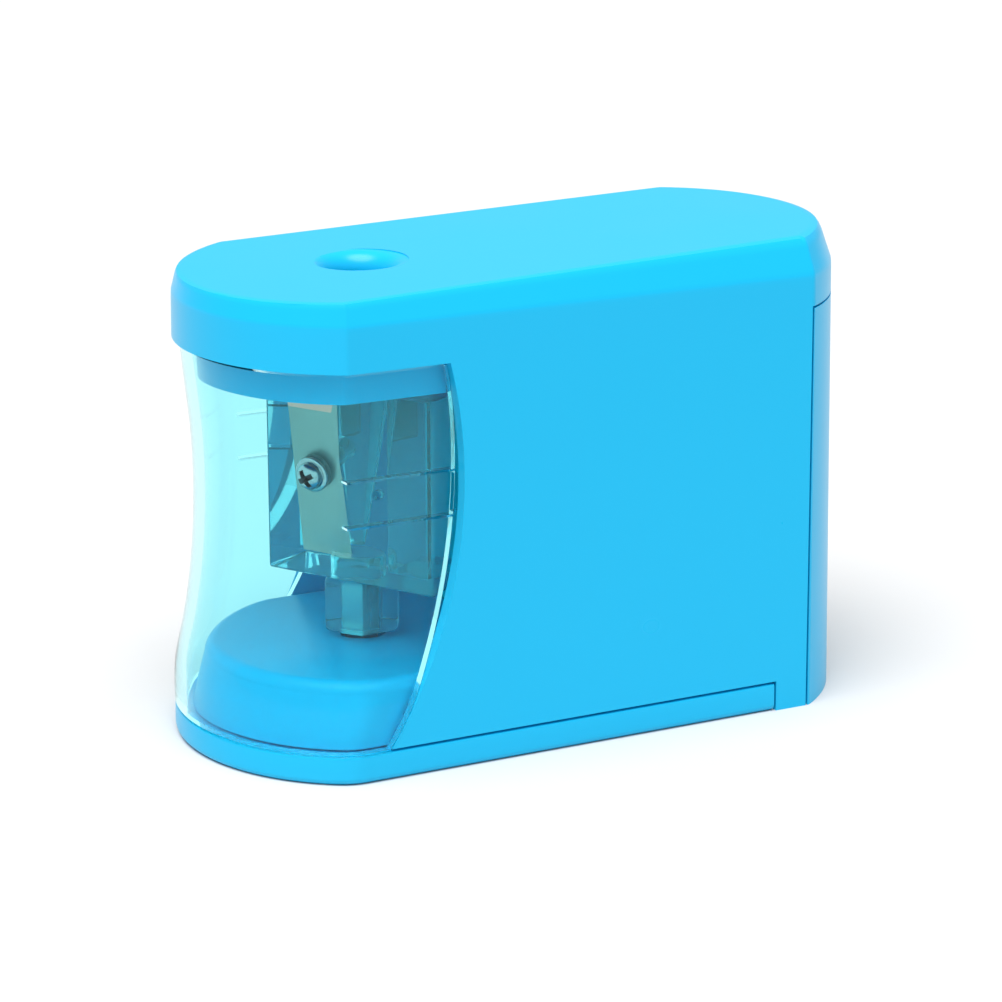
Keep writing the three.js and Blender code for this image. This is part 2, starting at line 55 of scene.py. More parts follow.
WIDE = 30  # past both sides of the body
LONG = 60  # past its front and its back

# body
HALF_WIDTH = 21.0
FRONT_RADIUS = 23.63
FRONT_CENTRE = -21.17
REAR_RADIUS = 25.41
REAR_CENTRE = 19.39
TOP_EDGE_Z = 58.3
DRAFT = 0.0175
CAP_UNDERSIDE_Z = 52.6
CAP_FRONT_Z = 61.3
CAP_FRONT_Y = -32
CAP_LENGTH = 66
CAP_SLOPE = 0.029
BASE_TOP_Z = 3.8
BASE_REAR_Y = 28.6
DOOR_FRONT_Y = 33.8
DOOR_TOP_Z = 54.0
BASE_SCREWS = [(17.8, 0.5), (-17.8, 0.5), (17.8, 16.5), (-17.8, 16.5)]
CASE_SCREWS = [(14.8, -27.0), (-14.8, -27.0)]
SCREW_HOLE = 1.5
SCREW_HEAD_HOLE = 2.8

# round edge where the clear cover meets the housing, about an axis across the body
EDGE_Y = -77.5
EDGE_Z = 38.28
COVER_EDGE_RADIUS = 60.7
HOUSING_EDGE_RADIUS = 60.9
COVER_WALL = 1.5

# cutter and gears
CUTTER_Y = FRONT_CENTRE
CUTTER_TURN = math.radians(32)
IDLER_Y = CUTTER_Y + 14
MOTOR_Y = IDLER_Y + 12.5
PENCIL_RADIUS = 4.2
CONE_TOP_Z = 43.4
CONE_TIP_Z = 24.5
CONE_TIP_RADIUS = 0.9
CONE_SLOPE = (PENCIL_RADIUS - CONE_TIP_RADIUS) / (CONE_TOP_Z - CONE_TIP_Z)
CONE_ANGLE = math.atan(CONE_SLOPE)
BOSS_TOP_Z = 12.2
BOSS_REAR_Y = -6.0
CASE_TOP_Z = 10.9


# ------------------------------------------------------------------ mesh helpers
def make(name, points, faces):
    mesh = bpy.data.meshes.new(name)
    mesh.from_pydata([Vector(p) * MM for p in points], [], faces)
    mesh.update()
    obj = bpy.data.objects.new(name, mesh)
    bpy.context.scene.collection.objects.link(obj)
    return obj


def apply_modifiers(obj):
    graph = bpy.context.evaluated_depsgraph_get()
    graph.update()
    mesh = bpy.data.meshes.new_from_object(obj.evaluated_get(graph))
    old = obj.data
    obj.modifiers.clear()
    obj.data = mesh
    bpy.data.meshes.remove(old)
    mesh.name = obj.name
    return obj


def boolean(obj, operation, *tools):
    for tool in tools:
        modifier = obj.modifiers.new("cut", "BOOLEAN")
        modifier.operation = operation
        modifier.solver = "EXACT"
        modifier.object = tool
        apply_modifiers(obj)
        bpy.data.objects.remove(tool, do_unlink=True)
    return obj


def cut(obj, *tools):
    return boolean(obj, "DIFFERENCE", *tools)


def join(obj, *tools):
    return boolean(obj, "UNION", *tools)


def keep(obj, *tools):
    return boolean(obj, "INTERSECT", *tools)


def soften(obj, width, segments=3, angle=38):
    if width > 0:
        modifier = obj.modifiers.new("edges", "BEVEL")
        modifier.width = width * MM
        modifier.segments = segments
        modifier.limit_method = "ANGLE"
        modifier.angle_limit = math.radians(angle)
        modifier.use_clamp_overlap = True
        modifier.miter_outer = "MITER_ARC"
        apply_modifiers(obj)
    for polygon in obj.data.polygons:
        polygon.use_smooth = True
    obj.data.set_sharp_from_angle(angle=math.radians(42))
    modifier = obj.modifiers.new("normals", "WEIGHTED_NORMAL")
    modifier.keep_sharp = True
    modifier.weight = 80
    apply_modifiers(obj)
    return obj


def ring_solid(name, rings):
    """Closed solid through rings of the same number of points, bottom to top."""
    count = len(rings[0])
    points = [p for ring in rings for p in ring]
    faces = [list(reversed(range(count)))]
    for k in range(len(rings) - 1):
        low = k * count
        for i in range(count):
            j = (i + 1) % count
            faces.append([low + i, low + j, low + count + j, low + count + i])
    last = (len(rings) - 1) * count
    faces.append(list(range(last, last + count)))
    return make(name, points, faces)


def prism(outline, z0, z1, name="prism"):
    return ring_solid(name, [[(x, y, z) for x, y in outline] for z in (z0, z1)])


def box(x0, x1, y0, y1, z0, z1):
    return prism([(x0, y0), (x1, y0), (x1, y1), (x0, y1)], z0, z1, "box")


def slab(y0, y1, z0, z1):
    """Box that reaches past both sides of the body."""
    return box(-WIDE, WIDE, y0, y1, z0, z1)


def circle(radius, sides):
    turns = [2 * math.pi * i / sides for i in range(sides)]
    return [(radius * math.cos(a), radius * math.sin(a)) for a in turns]


def lathe(name, profile, x=0.0, y=0.0, sides=64):
    """Turned solid about an upright axis; profile is (radius, z) from the bottom to the top."""
    return ring_solid(name, [[(x + u, y + v, z) for u, v in circle(r, sides)] for r, z in profile])


def post(x, y, radius, z0, z1, sides=48, top=None):
    return lathe("post", [(radius, z0), (radius if top is None else top, z1)], x, y, sides)


def edge_rod(radius, sides):
    """Rod across the body, about the axis of the round edge between cover and housing."""
    ring = circle(radius, sides)
    return ring_solid("rod", [[(x, EDGE_Y + u, EDGE_Z + v) for u, v in ring] for x in (-WIDE, WIDE)])


def between(before, start, end, after, t):
    """Catmull-Rom curve from start to end, at share t."""
    square = 2 * before - 5 * start + 4 * end - after
    cube = 3 * start - before - 3 * end + after
    return 0.5 * (2 * start + (end - before) * t + square * t**2 + cube * t**3)


def smooth_curve(points, steps):
    """Points of a smooth curve through the given ones, with so many steps between neighbours."""
    last = len(points) - 1
    curve = []
    for i in range(last):
        near = points[max(i - 1, 0)], points[i], points[i + 1], points[min(i + 2, last)]
        curve += [tuple(between(*axis, k / steps) for axis in zip(*near)) for k in range(steps)]
    return curve + [points[-1]]


def rounded_rod(radius, edge, z0, z1, y=0.0, sides=56):
    """Upright rod with both ends rounded by a quarter circle."""
    flat = radius - edge
    turns = [math.radians(a) for a in (0, 22.5, 45, 67.5, 90)]
    profile = [(flat + edge * math.sin(a), z0 + edge - edge * math.cos(a)) for a in turns]
    profile += [(flat + edge * math.cos(a), z1 - edge + edge * math.sin(a)) for a in turns]
    return lathe("rod", profile, 0, y, sides)


def tube(name, points, radius, steps=6, sides=16):
    """Round wire along a smooth curve, with closed ends."""
    path = [Vector(p) for p in smooth_curve(points, steps)]
    up = Vector((0.31, 0.27, 0.91)).normalized()
    rings = []
    for i, centre in enumerate(path):
        ahead = path[min(i + 1, len(path) - 1)] - path[max(i - 1, 0)]
        ahead.normalize()
        side = ahead.cross(up)
        if side.length < 0.1:
            side = ahead.cross(Vector((1, 0, 0)))
        side.normalize()
        up = side.cross(ahead).normalized()
        rings.append([tuple(centre + side * u - up * v) for u, v in circle(radius, sides)])
    return ring_solid(name, rings)


def transform(obj, matrix):
    obj.data.transform(matrix)
    obj.data.update()
    return obj


def place_cutter(obj):
    """From the cutter's own axes, in which the blade faces -Y, onto the cutter's axis."""
    move = Matrix.Translation(Vector((0, CUTTER_Y, 0)) * MM) @ Matrix.Rotation(CUTTER_TURN, 4, "Z")
    return transform(obj, move)


# ------------------------------------------------------------------ body plan
ARC_STEPS = 44
CORNER_STEPS = 5
SHOULDER_FRONT = 0.9
SHOULDER_GROWTH = 1.4
CAP_CORNER = 1.2
COVER_CORNER = 3.0
BASE_CORNER = 7.0


def plan(offset, corner=CAP_CORNER):
    """Body plan moved outwards by offset, anticlockwise, with softened corners between side and arc."""
    half = HALF_WIDTH + offset
    front = FRONT_RADIUS + offset
    rear = REAR_RADIUS + offset
    front_y = FRONT_CENTRE - math.sqrt((front - corner) ** 2 - (half - corner) ** 2)
    rear_y = REAR_CENTRE + math.sqrt((rear - corner) ** 2 - (half - corner) ** 2)
    rear_turn = math.atan2(rear_y - REAR_CENTRE, half - corner)
    front_turn = math.atan2(front_y - FRONT_CENTRE, half - corner)

    def arc(cx, cy, radius, start, end, steps):
        angles = [start + (end - start) * i / steps for i in range(steps + 1)]
        return [(cx + radius * math.cos(a), cy + radius * math.sin(a)) for a in angles]

    points = arc(half - corner, front_y, corner, front_turn, 0, CORNER_STEPS)
    points += arc(half - corner, rear_y, corner, 0, rear_turn, CORNER_STEPS)
    points += arc(0, REAR_CENTRE, rear, rear_turn, math.pi - rear_turn, ARC_STEPS)[1:]
    points += arc(corner - half, rear_y, corner, math.pi - rear_turn, math.pi, CORNER_STEPS)[1:]
    points += arc(corner - half, front_y, corner, math.pi, math.pi - front_turn, CORNER_STEPS)
    front_arc = arc(0, FRONT_CENTRE, front, math.pi - front_turn, 2 * math.pi + front_turn, ARC_STEPS)
    return points + front_arc[1:-1]


def draft(z):
    return DRAFT * (TOP_EDGE_Z - z)


def level(z, offset, corner=CAP_CORNER):
    return [(x, y, z) for x, y in plan(offset, corner)]


def body_level(z, inset=0.0):
    return level(z, draft(z) - inset)


def cap_top(y):
    return CAP_FRONT_Z + CAP_SLOPE * (y - CAP_FRONT_Y)


def cap_ring(inset_share, rise_share, extra=0.0):
    """A ring of the cap's sloping shoulder, which is wider towards the back.

    The shares are of the full inset and the full rise there.
    """
    points = []
    for i, (_, y) in enumerate(plan(0)):
        along = min(1.0, max(0.0, (y - CAP_FRONT_Y) / CAP_LENGTH))
        inset = inset_share * (SHOULDER_FRONT + SHOULDER_GROWTH * along) + extra
        x, y = plan(-round(inset, 3))[i]
        points.append((x, y, TOP_EDGE_Z + (cap_top(y) - TOP_EDGE_Z) * rise_share))
    return points


# ------------------------------------------------------------------ materials
def principled(name, colour, roughness, metallic=0.0, **extra):
    material = bpy.data.materials.new(name)
    material.use_nodes = True
    shader = material.node_tree.nodes["Principled BSDF"]
    shader.inputs["Base Color"].default_value = (*colour, 1)
    shader.inputs["Roughness"].default_value = roughness
    shader.inputs["Metallic"].default_value = metallic
    for key, value in extra.items():
        shader.inputs[key.replace("_", " ")].default_value = value
    return material, material.node_tree, shader


def add_noise(tree, scale, detail=3.0, stretch=(1, 1, 1)):
    coords = tree.nodes.new("ShaderNodeTexCoord")
    mapping = tree.nodes.new("ShaderNodeMapping")
    mapping.inputs["Scale"].default_value = stretch
    noise = tree.nodes.new("ShaderNodeTexNoise")
    noise.inputs["Scale"].default_value = scale
    noise.inputs["Detail"].default_value = detail
    tree.links.new(coords.outputs["Object"], mapping.inputs["Vector"])
    tree.links.new(mapping.outputs["Vector"], noise.inputs["Vector"])
    return noise


def ramp(tree, source, low, high):
    """Maps a 0 to 1 pattern to the range low to high, numbers or colours."""
    node = tree.nodes.new("ShaderNodeValToRGB")
    for stop, value in ((0, low), (1, high)):
        colour = value if isinstance(value, tuple) else (value, value, value)
        node.color_ramp.elements[stop].color = (*colour, 1)
    node.color_ramp.elements[0].position = 0.15
    node.color_ramp.elements[1].position = 0.85
    tree.links.new(source, node.inputs["Fac"])
    return node.outputs["Color"]


def bump(tree, shader, height, strength, distance):
    node = tree.nodes.new("ShaderNodeBump")
    node.inputs["Strength"].default_value = strength
    node.inputs["Distance"].default_value = distance
    tree.links.new(height, node.inputs["Height"])
    tree.links.new(node.outputs["Normal"], shader.inputs["Normal"])


def moulded(name, colour, rough, shade=0.94, grain=380.0, strength=0.03, **extra):
    """Injection-moulded plastic: faint flow tone, uneven gloss and a very fine surface."""
    material, tree, shader = principled(name, colour, rough[0], **extra)
    flow = add_noise(tree, 22.0, 1.0, (1, 0.5, 1.6))
    darker = tuple(c * shade for c in colour)
    tree.links.new(ramp(tree, flow.outputs["Fac"], darker, colour), shader.inputs["Base Color"])
    gloss = add_noise(tree, 60.0, 1.0)
    tree.links.new(ramp(tree, gloss.outputs["Fac"], rough[0], rough[1]), shader.inputs["Roughness"])
    fine = add_noise(tree, grain, 2.0)
    bump(tree, shader, fine.outputs["Fac"], strength, 0.00002)
    return material


def brushed(name, colour, rough, stretch, metallic=1.0, strength=0.15):
    material, tree, shader = principled(name, colour, rough[0], metallic)
    streaks = add_noise(tree, 700.0, 3.0, stretch)
    tree.links.new(ramp(tree, streaks.outputs["Fac"], rough[0], rough[1]), shader.inputs["Roughness"])
    tone = add_noise(tree, 90.0, 2.0, stretch)
    darker = tuple(c * 0.86 for c in colour)
    tree.links.new(ramp(tree, tone.outputs["Fac"], darker, colour), shader.inputs["Base Color"])
    bump(tree, shader, streaks.outputs["Fac"], strength, 0.00005)
    return material


def clear_plastic(name, tint, rough, ior, clarity=1.0):
    """Clear moulding with a faint waviness; less clarity gives it a haze of its own colour."""
    material, tree, shader = principled(name, tint, rough, 0.0)
    shader.inputs["Transmission Weight"].default_value = clarity
    shader.inputs["IOR"].default_value = ior
    wave = add_noise(tree, 45.0, 1.0)
    bump(tree, shader, wave.outputs["Fac"], 0.1, 0.00025)
    return material


CYAN = (0.006, 0.475, 0.81)
M_SHELL = moulded("cyan_shell", CYAN, (0.27, 0.31), 0.98, Specular_IOR_Level=0.25)
# the gear case is the shell's cyan plastic painted darker: painted shade for the light it gets under the
# clear cover
M_CASE_SHADED = moulded("cyan_case_painted_shade", (0.006, 0.44, 0.75), (0.27, 0.31), 0.98, Specular_IOR_Level=0.2)
# the inner frame's cyan is painted lighter than the shell's: painted light for its dim place behind the
# clear cover
M_INNER_LIT = moulded("cyan_inner", (0.004, 0.72, 0.90), (0.4, 0.5), 0.95, Specular_IOR_Level=0.25)
M_COVER = clear_plastic("clear_cover", (0.59, 0.955, 0.985), 0.015, 1.24)
M_CUTTER = clear_plastic("clear_cutter", (0.42, 0.91, 0.98), 0.03, 1.13, 0.87)
M_BLADE = brushed("blade_steel", (0.92, 0.50, 0.42), (0.26, 0.38), (1, 1, 0.06))
M_PLATED = brushed("plated_screw", (0.52, 0.54, 0.55), (0.16, 0.26), (1, 1, 1), strength=0.05)
# near-black steel of the washer; it is also painted shade, in the screw's cross recess and under the
# screw head
M_DARK_STEEL_AND_SHADE = brushed("washer_steel_and_painted_shade", (0.10, 0.12, 0.13), (0.3, 0.4), (1, 1, 1), 0.7, 0.05)
M_ZINC = brushed("zinc_screw", (0.55, 0.56, 0.58), (0.3, 0.45), (1, 1, 1), strength=0.08)
M_SHAFT = brushed("shaft_steel", (0.62, 0.63, 0.65), (0.22, 0.36), (1, 1, 0.1))
M_ACETAL = moulded("gear_acetal", (0.80, 0.79, 0.74), (0.4, 0.5), 0.95)
M_BRASS = brushed("pinion_brass", (0.78, 0.55, 0.22), (0.25, 0.4), (1, 1, 0.2))
M_CAN = brushed("motor_steel", (0.58, 0.59, 0.60), (0.28, 0.42), (0.3, 0.3, 1))
M_BLACK = moulded("black_nylon", (0.02, 0.02, 0.022), (0.45, 0.6), 0.8)
M_COPPER = brushed("contact_bronze", (0.72, 0.42, 0.22), (0.22, 0.36), (0.1, 1, 1))
M_NICKEL = brushed("nickel_contact", (0.66, 0.66, 0.66), (0.2, 0.34), (1, 0.2, 1))
M_JACKET = moulded("cell_jacket", (0.03, 0.032, 0.036), (0.25, 0.36), 0.85)
M_RED = moulded("red_insulation", (0.55, 0.03, 0.02), (0.45, 0.55), 0.9)
M_DARK = moulded("black_insulation", (0.012, 0.012, 0.013), (0.45, 0.55), 0.8)
M_YELLOW = moulded("yellow_insulation", (0.72, 0.45, 0.03), (0.45, 0.55), 0.9)


def finish(obj, name, material, body, slot, *nodes):
    obj.name = name
    obj.data.name = name
    obj.data.materials.clear()
    obj.data.materials.append(material)
    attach(obj, body)
    if nodes:
        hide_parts(*nodes)
    return obj


# ------------------------------------------------------------------ camera and light
CAMERA_AZIMUTH = math.radians(63.361)
CAMERA_ELEVATION = math.radians(16.543)
CAMERA_DISTANCE = 423.07
CAMERA_TARGET = Vector((0, -0.88, 27.141))
LENS = 114.97

back = Vector((
    math.sin(CAMERA_AZIMUTH) * math.cos(CAMERA_ELEVATION),
    -math.cos(CAMERA_AZIMUTH) * math.cos(CAMERA_ELEVATION),
    math.sin(CAMERA_ELEVATION),
))
camera_data = bpy.data.cameras.new("camera")
camera_data.lens = LENS
camera_data.sensor_width = 36
camera = bpy.data.objects.new("camera", camera_data)
camera.location = (CAMERA_TARGET + back * CAMERA_DISTANCE) * MM
camera.rotation_euler = (-back).to_track_quat("-Z", "Y").to_euler()
bpy.context.scene.collection.objects.link(camera)
bpy.context.scene.camera = camera

# the sky is brighter to the camera and to rays through clear plastic than it is as a light
SKY_LIGHT = 0.43
SKY_SEEN = 1.25
world = bpy.data.worlds.new("studio")
world.use_nodes = True
sky = world.node_tree.nodes["Background"]
sky.inputs["Color"].default_value = (1, 1, 1, 1)
ray = world.node_tree.nodes.new("ShaderNodeLightPath")
seen = world.node_tree.nodes.new("ShaderNodeMath")
seen.operation = "MAXIMUM"
world.node_tree.links.new(ray.outputs["Is Camera Ray"], seen.inputs[0])
world.node_tree.links.new(ray.outputs["Is Transmission Ray"], seen.inputs[1])
strength = world.node_tree.nodes.new("ShaderNodeMapRange")
strength.inputs["To Min"].default_value = SKY_LIGHT
strength.inputs["To Max"].default_value = SKY_SEEN
world.node_tree.links.new(seen.outputs["Value"], strength.inputs["Value"])
world.node_tree.links.new(strength.outputs["Result"], sky.inputs["Strength"])
bpy.context.scene.world = world
bpy.context.scene.view_settings.view_transform = "Standard"

OVERHEAD_AIM = Vector((-0.26, 0.24, -1))
overhead = bpy.data.lights.new("overhead", "SUN")
overhead.energy = 4.2
overhead.angle = math.radians(50)
overhead_lamp = bpy.data.objects.new("overhead", overhead)
overhead_lamp.rotation_euler = OVERHEAD_AIM.to_track_quat("-Z", "Y").to_euler()
bpy.context.scene.collection.objects.link(overhead_lamp)

FLOOR = 2500
corners = [(-FLOOR, -FLOOR, 0), (FLOOR, -FLOOR, 0), (FLOOR, FLOOR, 0), (-FLOOR, FLOOR, 0)]
floor = make("floor", corners, [[0, 1, 2, 3]])
floor_material, floor_tree, floor_shader = principled("pale_floor", (0.67, 0.67, 0.67), 0.6)
floor_grain = add_noise(floor_tree, 40.0, 3.0)
floor_tone = ramp(floor_tree, floor_grain.outputs["Fac"], (0.66, 0.66, 0.66), (0.68, 0.68, 0.68))
floor_tree.links.new(floor_tone, floor_shader.inputs["Base Color"])
floor.data.materials.append(floor_material)

# ------------------------------------------------------------------ housing
SHOULDER = [(0.03, 0.05), (0.12, 0.16), (0.55, 0.72), (0.68, 0.85), (0.84, 0.95)]
LEDGE_INSET = 1.2
LIP_INSET = 3.0
LIP_INNER = 4.4
LIP_FOOT_Z = 48.2
LIP_REAR_Y = -17.6
HOLE_TOP_Z = 61.66
HOLE_ROUND = 2.3
HOLE_FLARE_Z = HOLE_TOP_Z - HOLE_ROUND

rings = [body_level(0), body_level(TOP_EDGE_Z - 0.7), level(TOP_EDGE_Z - 0.2, -0.01)]
rings += [cap_ring(inset, rise) for inset, rise in SHOULDER]
rings += [cap_ring(1.0, 0.985, 0.25), cap_ring(1.0, 1.0, 0.8)]
shell = ring_solid("shell", rings)
hollow = [body_level(-1, WALL), body_level(TOP_EDGE_Z - 1, WALL), cap_ring(1.0, 0.42, WALL)]
cut(shell, ring_solid("hollow", hollow))
front = box(-40, 40, -70, 0, 0.5, CAP_UNDERSIDE_Z)
cut(shell, keep(edge_rod(HOUSING_EDGE_RADIUS, 360), front))
cut(shell, slab(-LONG, BASE_REAR_Y + GAP, -1, BASE_TOP_Z + GAP))
cut(shell, slab(DOOR_FRONT_Y - GAP, LONG, -1, DOOR_TOP_Z + GAP))


def band(z0, z1, outer, inner):
    """Band along the body's top outline, between two insets from it."""
    ring = ring_solid("band", [level(z0, -outer), level(z1, -outer)])
    return cut(ring, ring_solid("hole", [level(z, -inner) for z in (math.floor(z0), math.ceil(z1))]))


# the ledge closes the cap over the clear cover, and the lip hangs from it inside the cover
ledge = band(52.9, 54.4, LEDGE_INSET, LIP_INNER)
join(ledge, band(LIP_FOOT_Z, 53.6, LIP_INSET, LIP_INNER))
join(shell, keep(ledge, slab(-LONG, LIP_REAR_Y, 40, 60)))

# a step behind the top of the battery door keeps the gap there from being see-through
door_stop = ring_solid("door_stop", [body_level(z, WALL + GAP) for z in (53.0, 55.6)])
join(door_stop, ring_solid("step", [body_level(z, WALL - GAP) for z in (54.7, 55.6)]))
cut(door_stop, ring_solid("hole", [body_level(z, WALL + 1.2) for z in (52, 57)]))
join(shell, keep(door_stop, slab(DOOR_FRONT_Y, LONG, 50, 60)))

for x, y in BASE_SCREWS:
    join(shell, post(x, y, 2.6, BASE_TOP_Z + GAP, 13, 24))
    cut(shell, post(x, y, SCREW_HOLE, 2, 10, 20))

join(shell, post(0, CUTTER_Y, 6.2, 55.5, 60.6, 72))
hole = [(PENCIL_RADIUS, 55.0), (PENCIL_RADIUS, HOLE_FLARE_Z)]
for turn in range(10, 91, 10):
    a = math.radians(turn)
    hole.append((PENCIL_RADIUS + HOLE_ROUND * (1 - math.cos(a)), HOLE_FLARE_Z + HOLE_ROUND * math.sin(a)))
hole.append((PENCIL_RADIUS + HOLE_ROUND + 0.02, 64))
cut(shell, lathe("hole", hole, 0, CUTTER_Y, 96))
soften(shell, 0.35)
finish(shell, "housing_shell", M_SHELL, "housing", "cyan_gloss_plastic", "upper_housing")

# ------------------------------------------------------------------ base plate
BASE_SIDE = [
    (0, -0.9), (0.12, -0.5), (0.45, -0.12), (0.9, 0), (BASE_TOP_Z - 0.4, 0), (BASE_TOP_Z - 0.12, -0.1),
    (BASE_TOP_Z, -0.4),
]
base = ring_solid("base", [level(z, draft(z) + out, BASE_CORNER) for z, out in BASE_SIDE])
keep(base, slab(-LONG, BASE_REAR_Y, -1, 10))
cell_well = box(-16.9, 16.9, 19.9, 40, -1, 10)
gear_wells = [post(0, CUTTER_Y, 12.8, 1, 5, 72), post(0, IDLER_Y, 11.7, 1, 5, 72)]
cut(base, cell_well, *gear_wells, post(0, MOTOR_Y, 4.4, 1, 5))
for x, y in BASE_SCREWS + CASE_SCREWS:
    cut(base, post(x, y, SCREW_HOLE, -1, 5), post(x, y, SCREW_HEAD_HOLE, -1, 1.9))
soften(base, 0.2, 2)
finish(base, "base_tray", M_SHELL, "housing", "cyan_gloss_plastic", "base_plate")

# ------------------------------------------------------------------ gear case
BOSS_EDGE = 1.7
BOSS_CORNER = 6.5
BOSS_CORNER_STEPS = 12
BOSS_ARC_STEPS = 48


def boss_level(z, half, radius, rear_y=BOSS_REAR_Y, corner=BOSS_CORNER):
    """Plan of the boss: straight back and sides, and a round front that runs softly into the sides."""
    corner_x = half - corner
    corner_y = FRONT_CENTRE - math.sqrt((radius - corner) ** 2 - corner_x**2)
    meet = math.atan2(corner_y - FRONT_CENTRE, corner_x)
    turns = [meet * i / BOSS_CORNER_STEPS for i in range(BOSS_CORNER_STEPS + 1)]
    corner_points = [(corner_x + corner * math.cos(a), corner_y + corner * math.sin(a)) for a in turns]
    points = [(-half, rear_y)] + [(-x, y) for x, y in corner_points]
    for i in range(1, BOSS_ARC_STEPS):
        a = -math.pi - meet + (math.pi + 2 * meet) * i / BOSS_ARC_STEPS
        points.append((radius * math.cos(a), FRONT_CENTRE + radius * math.sin(a)))
    points += corner_points[::-1] + [(half, rear_y)]
    return [(x, y, z) for x, y in points]


boss_rings = [boss_level(4.1, 19.9, 22.3)]
for turn in range(0, 91, 10):
    a = math.radians(turn)
    inset = BOSS_EDGE * (1 - math.cos(a))
    z = BOSS_TOP_Z - BOSS_EDGE + BOSS_EDGE * math.sin(a)
    boss_rings.append(boss_level(z, 19.4 - inset, 20.5 - inset))
case = ring_solid("case", boss_rings)
join(case, box(-19.4, 19.4, -7, -3, 4.1, CASE_TOP_Z), box(-15, 15, -4, 15, 4.1, CASE_TOP_Z))
hollow = ring_solid("hollow", [boss_level(3, 18.5, 20.9, -7.5), boss_level(10.4, 17.9, 18.9, -7.5)])
lead_notches = [box(11.8, 14.2, 13, 16, 3, 6.2), box(-14.2, -11.8, 13, 16, 3, 6.4)]
cut(case, hollow, box(-13.8, 13.8, -8, 13.8, 3, 9.4), *lead_notches)
for x, y in CASE_SCREWS:
    join(case, post(x, y, 2.4, 4.1, 10.8, 32))
    cut(case, post(x, y, SCREW_HOLE, 2, 9, 32))
cut(case, post(0, CUTTER_Y, 3, 5, 13), post(0, MOTOR_Y, 3.4, 5, 12))
soften(case, 0.3, 3)
# the case's darker cyan is painted shade
finish(case, "gear_case", M_CASE_SHADED, "housing", "cyan_gloss_plastic", "gear_cover")

# ------------------------------------------------------------------ battery door
DOOR_FLOOR = 1.5
HOOK = 1.3
HOOK_HEIGHT = 5
GRIP_RADIUS = 60
GRIP_DEPTH = 0.5
GRIP_Y = REAR_CENTRE + REAR_RADIUS + draft(34) + GRIP_RADIUS - GRIP_DEPTH
GRIP_FOOT_Z = 30
GRIP_PITCH = 1.8
GRIP_HALF_HEIGHT = 0.45
GRIP_HALF_WIDTHS = [5.0, 5.5, 6.0, 5.5, 5.0]

door = ring_solid("door", [body_level(0), body_level(TOP_EDGE_Z)])
cut(door, ring_solid("inside", [body_level(-1, WALL), body_level(TOP_EDGE_Z + 1, WALL)]))
keep(door, slab(DOOR_FRONT_Y, LONG, 0, DOOR_TOP_Z))
for x in (-18.5, 17.2):
    for z in (8, 42):
        join(door, box(x, x + HOOK, 28, 36.6, z, z + HOOK_HEIGHT))
door_floor = ring_solid("door_floor", [body_level(0, 1), body_level(DOOR_FLOOR, 1)])
join(door, keep(door_floor, box(-16.8, 16.8, DOOR_FRONT_Y, LONG, 0, DOOR_FLOOR)))
for k, half in enumerate(GRIP_HALF_WIDTHS):
    z = GRIP_FOOT_Z + GRIP_PITCH * k
    groove = post(0, GRIP_Y, GRIP_RADIUS, z - GRIP_HALF_HEIGHT, z + GRIP_HALF_HEIGHT, 512)
    cut(door, keep(groove, box(-half, half, 40, 60, 20, 50)))
soften(door, 0.22, 2)
finish(door, "door_panel", M_SHELL, "door", "cyan_gloss_plastic", "battery_door")

# ------------------------------------------------------------------ clear shavings cover
COVER_PROFILE = [
    (4.1, 1.02), (7, 1.02), (10, 0.72), (15, -0.4), (20, -1.2), (25, -1.75), (30, -2.05),
    (35, -2.12), (40, -1.95), (45, -1.5), (49, -1.1), (52.05, -0.86),
]
SLIT = 0.3
SLIT_FRONT_Y = -31.4
TONGUE_FOOT_Z = 32.6
TONGUE_TOP_Z = 38.2


def cover_level(z, offset):
    """The cover's corner is crisper under the cap and softer towards the base."""
    corner = COVER_CORNER + (BASE_CORNER - COVER_CORNER) * max(0.0, (20 - z) / 16)
    return level(z, offset, min(corner, BASE_CORNER))


def side_box(side, x0, x1, *rest):
    """Box on the left (-1) or the right (1), x0 to x1 from the middle."""
    return box(*sorted((side * x0, side * x1)), *rest)


cover_side = smooth_curve(COVER_PROFILE, 4)
cover = ring_solid("cover", [cover_level(z, offset) for z, offset in cover_side])
cover_hollow = [(3, 1.02)] + cover_side[1:-1] + [(53.3, -0.8)]
cut(cover, ring_solid("inside", [cover_level(z, offset - COVER_WALL) for z, offset in cover_hollow]))
keep(cover, edge_rod(COVER_EDGE_RADIUS, 720))
for side in (-1, 1):
    for z in (TONGUE_TOP_Z, TONGUE_FOOT_Z - SLIT):
        cut(cover, side_box(side, 16, 20.5, SLIT_FRONT_Y, -10, z, z + SLIT))
    # the snap tongue reaches past the cover's edge into the housing, and ends in a small barb
    height = TONGUE_FOOT_Z + SLIT, TONGUE_TOP_Z - SLIT
    join(cover, side_box(side, 17.6, 18.8, -20, -11.5, *height))
    join(cover, side_box(side, 18.5, 19.2, -13.4, -11.9, *height))
soften(cover, 0)
finish(cover, "shavings_cover", M_COVER, "cover", "clear_cover_plastic", "window_cover")

# ------------------------------------------------------------------ cutter
BLADE_Z = 35.5
BLADE_THICKNESS = 0.5
SEAT = 0.1
SEAT_Z = 22.3
BLADE_FOOT = SEAT + GAP
BLADE_FACE = BLADE_FOOT + BLADE_THICKNESS
SCREW_X = -4.1
SCREW_S = -0.95
HUB_CORNER = 5.35
HUB_Z0 = 13.1
HUB_Z1 = 20.2
HUB_NECK = 3.3
HUB_NECK_Z1 = 23.0
SPINDLE_CORNER = 2.1
LYING = Matrix.Rotation(math.pi / 2, 4, "X")


def shift(x, y, z):
    return Matrix.Translation(Vector((x, y, z)) * MM)


